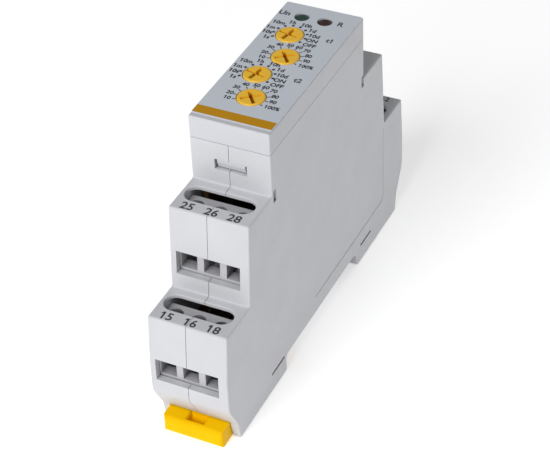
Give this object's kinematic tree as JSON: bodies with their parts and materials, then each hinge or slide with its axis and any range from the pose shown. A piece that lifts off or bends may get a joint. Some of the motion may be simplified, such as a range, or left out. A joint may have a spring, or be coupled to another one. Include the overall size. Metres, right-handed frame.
{
  "type": "din rail timer",
  "caption": "Slim stepped rail-mount timer relay with yellow setting dials, indicator lamps, screw cage terminals at both ends and a sliding yellow rail clip.",
  "frame": {"origin": "middle of the rail seat, in the plane where the case meets the rail", "axes": "+X across the width, +Y up the rail side away from the clip, +Z out of the dial face"},
  "size_m": [0.0176, 0.0923, 0.0644],
  "materials": {
    "black_plastic": "matt",
    "cage_nickel": "nickel plated",
    "spring_steel": "spring wire",
    "bar_brass": "tinned",
    "dial_yellow": "satin moulded",
    "circuit_board": "paper laminate",
    "film_grey": "boxed",
    "cover_grey": "fine moulded matt",
    "printed_foil": "satin foil with print",
    "lens_green": "clear tinted",
    "lens_red": "clear tinted",
    "case_grey": "fine moulded matt",
    "clip_yellow": "satin moulded",
    "relay_iron": "plated",
    "relay_black": "satin",
    "copper_winding": "enamelled wire",
    "contact_brass": "bright",
    "screw_steel": "zinc plated",
    "capacitor_can": "sleeved can",
    "block_grey": "matt",
    "blue_plastic": "satin",
    "black_coating": "dipped"
  },
  "bodies": {
    "housing": {"board_connector": "black_plastic", "bridge_rectifier": "black_plastic", "clip_spring": "spring_steel", "code_switch_t1_range": "black_plastic", "code_switch_t2_range": "black_plastic", "contact_bars": "bar_brass", "display_board": "circuit_board", "film_capacitor": "film_grey", "front_cover": "cover_grey", "front_foil": "printed_foil", "lamp_green": "lens_green", "lamp_red": "lens_red", "left_housing": "case_grey", "main_board": "circuit_board", "microcontroller": "black_plastic", "relay_1_base": "black_plastic", "relay_1_case": "relay_black", "relay_1_coil": "copper_winding", "relay_1_fixed_contacts": "contact_brass", "relay_1_yoke": "relay_iron", "relay_2_base": "black_plastic", "relay_2_case": "relay_black", "relay_2_coil": "copper_winding", "relay_2_fixed_contacts": "contact_brass", "relay_2_yoke": "relay_iron", "right_housing": "case_grey", "smoothing_capacitors": "capacitor_can", "terminal_block_inner_lower": "block_grey", "terminal_block_outer_lower": "block_grey", "terminal_block_outer_upper": "block_grey", "trimmer_t1_fine": "blue_plastic", "trimmer_t2_fine": "blue_plastic", "varistor": "black_coating"},
    "dial_t1_range": {"dial_t1_range": "dial_yellow"},
    "dial_t1_fine": {"dial_t1_fine": "dial_yellow"},
    "dial_t2_range": {"dial_t2_range": "dial_yellow"},
    "dial_t2_fine": {"dial_t2_fine": "dial_yellow"},
    "rail_clip": {"rail_clip": "clip_yellow"},
    "screw_25": {"screw_25": "screw_steel"},
    "cage_25": {"cage_25": "cage_nickel"},
    "screw_26": {"screw_26": "screw_steel"},
    "cage_26": {"cage_26": "cage_nickel"},
    "screw_28": {"screw_28": "screw_steel"},
    "cage_28": {"cage_28": "cage_nickel"},
    "screw_15": {"screw_15": "screw_steel"},
    "cage_15": {"cage_15": "cage_nickel"},
    "screw_16": {"screw_16": "screw_steel"},
    "cage_16": {"cage_16": "cage_nickel"},
    "screw_18": {"screw_18": "screw_steel"},
    "cage_18": {"cage_18": "cage_nickel"},
    "screw_a1": {"screw_a1": "screw_steel"},
    "cage_a1": {"cage_a1": "cage_nickel"},
    "screw_s": {"screw_s": "screw_steel"},
    "cage_s": {"cage_s": "cage_nickel"},
    "screw_a2": {"screw_a2": "screw_steel"},
    "cage_a2": {"cage_a2": "cage_nickel"},
    "relay_1_armature": {"relay_1_armature": "relay_iron", "relay_1_contact_arm": "contact_brass"},
    "relay_2_armature": {"relay_2_armature": "relay_iron", "relay_2_contact_arm": "contact_brass"}
  },
  "joints": [
    {"name": "dial_t1_range_turn", "type": "hinge", "parent": "housing", "child": "dial_t1_range", "pos_m": [-0.0026, 0.01083, 0.06], "axis": [0, 0, 1], "range_deg": [-108, 132]},
    {"name": "dial_t1_fine_turn", "type": "hinge", "parent": "housing", "child": "dial_t1_fine", "pos_m": [0.00007, 0.00292, 0.06], "axis": [0, 0, 1], "range_deg": [-157, 83]},
    {"name": "dial_t2_range_turn", "type": "hinge", "parent": "housing", "child": "dial_t2_range", "pos_m": [-0.0024, -0.00508, 0.06], "axis": [0, 0, 1], "range_deg": [-108, 132]},
    {"name": "dial_t2_fine_turn", "type": "hinge", "parent": "housing", "child": "dial_t2_fine", "pos_m": [0.0001, -0.01297, 0.06], "axis": [0, 0, 1], "range_deg": [-157, 83]},
    {"name": "clip_pull", "type": "slide", "parent": "housing", "child": "rail_clip", "axis": [0, -1, 0], "range_m": [0, 0.0035], "stiffness_N_per_m": 800, "springref_m": -0.002, "deforming": ["clip_spring"]},
    {"name": "screw_25_turn", "type": "hinge", "parent": "housing", "child": "screw_25", "pos_m": [-0.00543, -0.02815, 0.041], "axis": [0, 0, 1], "range_deg": [0, 1980]},
    {"name": "cage_25_lift", "type": "slide", "parent": "housing", "child": "cage_25", "axis": [0, 0, -1], "range_m": [0, 0.00247]},
    {"name": "screw_26_turn", "type": "hinge", "parent": "housing", "child": "screw_26", "pos_m": [-0.00035, -0.02815, 0.041], "axis": [0, 0, 1], "range_deg": [0, 1980]},
    {"name": "cage_26_lift", "type": "slide", "parent": "housing", "child": "cage_26", "axis": [0, 0, -1], "range_m": [0, 0.00247]},
    {"name": "screw_28_turn", "type": "hinge", "parent": "housing", "child": "screw_28", "pos_m": [0.00473, -0.02815, 0.041], "axis": [0, 0, 1], "range_deg": [0, 1980]},
    {"name": "cage_28_lift", "type": "slide", "parent": "housing", "child": "cage_28", "axis": [0, 0, -1], "range_m": [0, 0.00247]},
    {"name": "screw_15_turn", "type": "hinge", "parent": "housing", "child": "screw_15", "pos_m": [-0.00543, -0.0397, 0.0218], "axis": [0, 0, 1], "range_deg": [0, 1980]},
    {"name": "cage_15_lift", "type": "slide", "parent": "housing", "child": "cage_15", "axis": [0, 0, -1], "range_m": [0, 0.00247]},
    {"name": "screw_16_turn", "type": "hinge", "parent": "housing", "child": "screw_16", "pos_m": [-0.00035, -0.0397, 0.0218], "axis": [0, 0, 1], "range_deg": [0, 1980]},
    {"name": "cage_16_lift", "type": "slide", "parent": "housing", "child": "cage_16", "axis": [0, 0, -1], "range_m": [0, 0.00247]},
    {"name": "screw_18_turn", "type": "hinge", "parent": "housing", "child": "screw_18", "pos_m": [0.00473, -0.0397, 0.0218], "axis": [0, 0, 1], "range_deg": [0, 1980]},
    {"name": "cage_18_lift", "type": "slide", "parent": "housing", "child": "cage_18", "axis": [0, 0, -1], "range_m": [0, 0.00247]},
    {"name": "screw_a1_turn", "type": "hinge", "parent": "housing", "child": "screw_a1", "pos_m": [-0.00543, 0.0397, 0.0218], "axis": [0, 0, 1], "range_deg": [0, 1980]},
    {"name": "cage_a1_lift", "type": "slide", "parent": "housing", "child": "cage_a1", "axis": [0, 0, -1], "range_m": [0, 0.00247]},
    {"name": "screw_s_turn", "type": "hinge", "parent": "housing", "child": "screw_s", "pos_m": [-0.00035, 0.0397, 0.0218], "axis": [0, 0, 1], "range_deg": [0, 1980]},
    {"name": "cage_s_lift", "type": "slide", "parent": "housing", "child": "cage_s", "axis": [0, 0, -1], "range_m": [0, 0.00247]},
    {"name": "screw_a2_turn", "type": "hinge", "parent": "housing", "child": "screw_a2", "pos_m": [0.00473, 0.0397, 0.0218], "axis": [0, 0, 1], "range_deg": [0, 1980]},
    {"name": "cage_a2_lift", "type": "slide", "parent": "housing", "child": "cage_a2", "axis": [0, 0, -1], "range_m": [0, 0.00247]},
    {"name": "relay_1_pull_in", "type": "hinge", "parent": "housing", "child": "relay_1_armature", "pos_m": [0.00335, -0.0127, 0.0249], "axis": [0, 0, -1], "range_deg": [0, 5.5], "stiffness_Nm_per_rad": 0.002, "springref_deg": -2.86},
    {"name": "relay_2_pull_in", "type": "hinge", "parent": "housing", "child": "relay_2_armature", "pos_m": [0.00335, 0.0053, 0.0249], "axis": [0, 0, -1], "range_deg": [0, 5.5], "stiffness_Nm_per_rad": 0.002, "springref_deg": -2.86}
  ],
  "couplings": [
    {"joint": "screw_25_turn", "follows": "cage_25_lift", "rad_per_m": 13963},
    {"joint": "screw_26_turn", "follows": "cage_26_lift", "rad_per_m": 13963},
    {"joint": "screw_28_turn", "follows": "cage_28_lift", "rad_per_m": 13963},
    {"joint": "screw_15_turn", "follows": "cage_15_lift", "rad_per_m": 13963},
    {"joint": "screw_16_turn", "follows": "cage_16_lift", "rad_per_m": 13963},
    {"joint": "screw_18_turn", "follows": "cage_18_lift", "rad_per_m": 13963},
    {"joint": "screw_a1_turn", "follows": "cage_a1_lift", "rad_per_m": 13963},
    {"joint": "screw_s_turn", "follows": "cage_s_lift", "rad_per_m": 13963},
    {"joint": "screw_a2_turn", "follows": "cage_a2_lift", "rad_per_m": 13963}
  ]
}
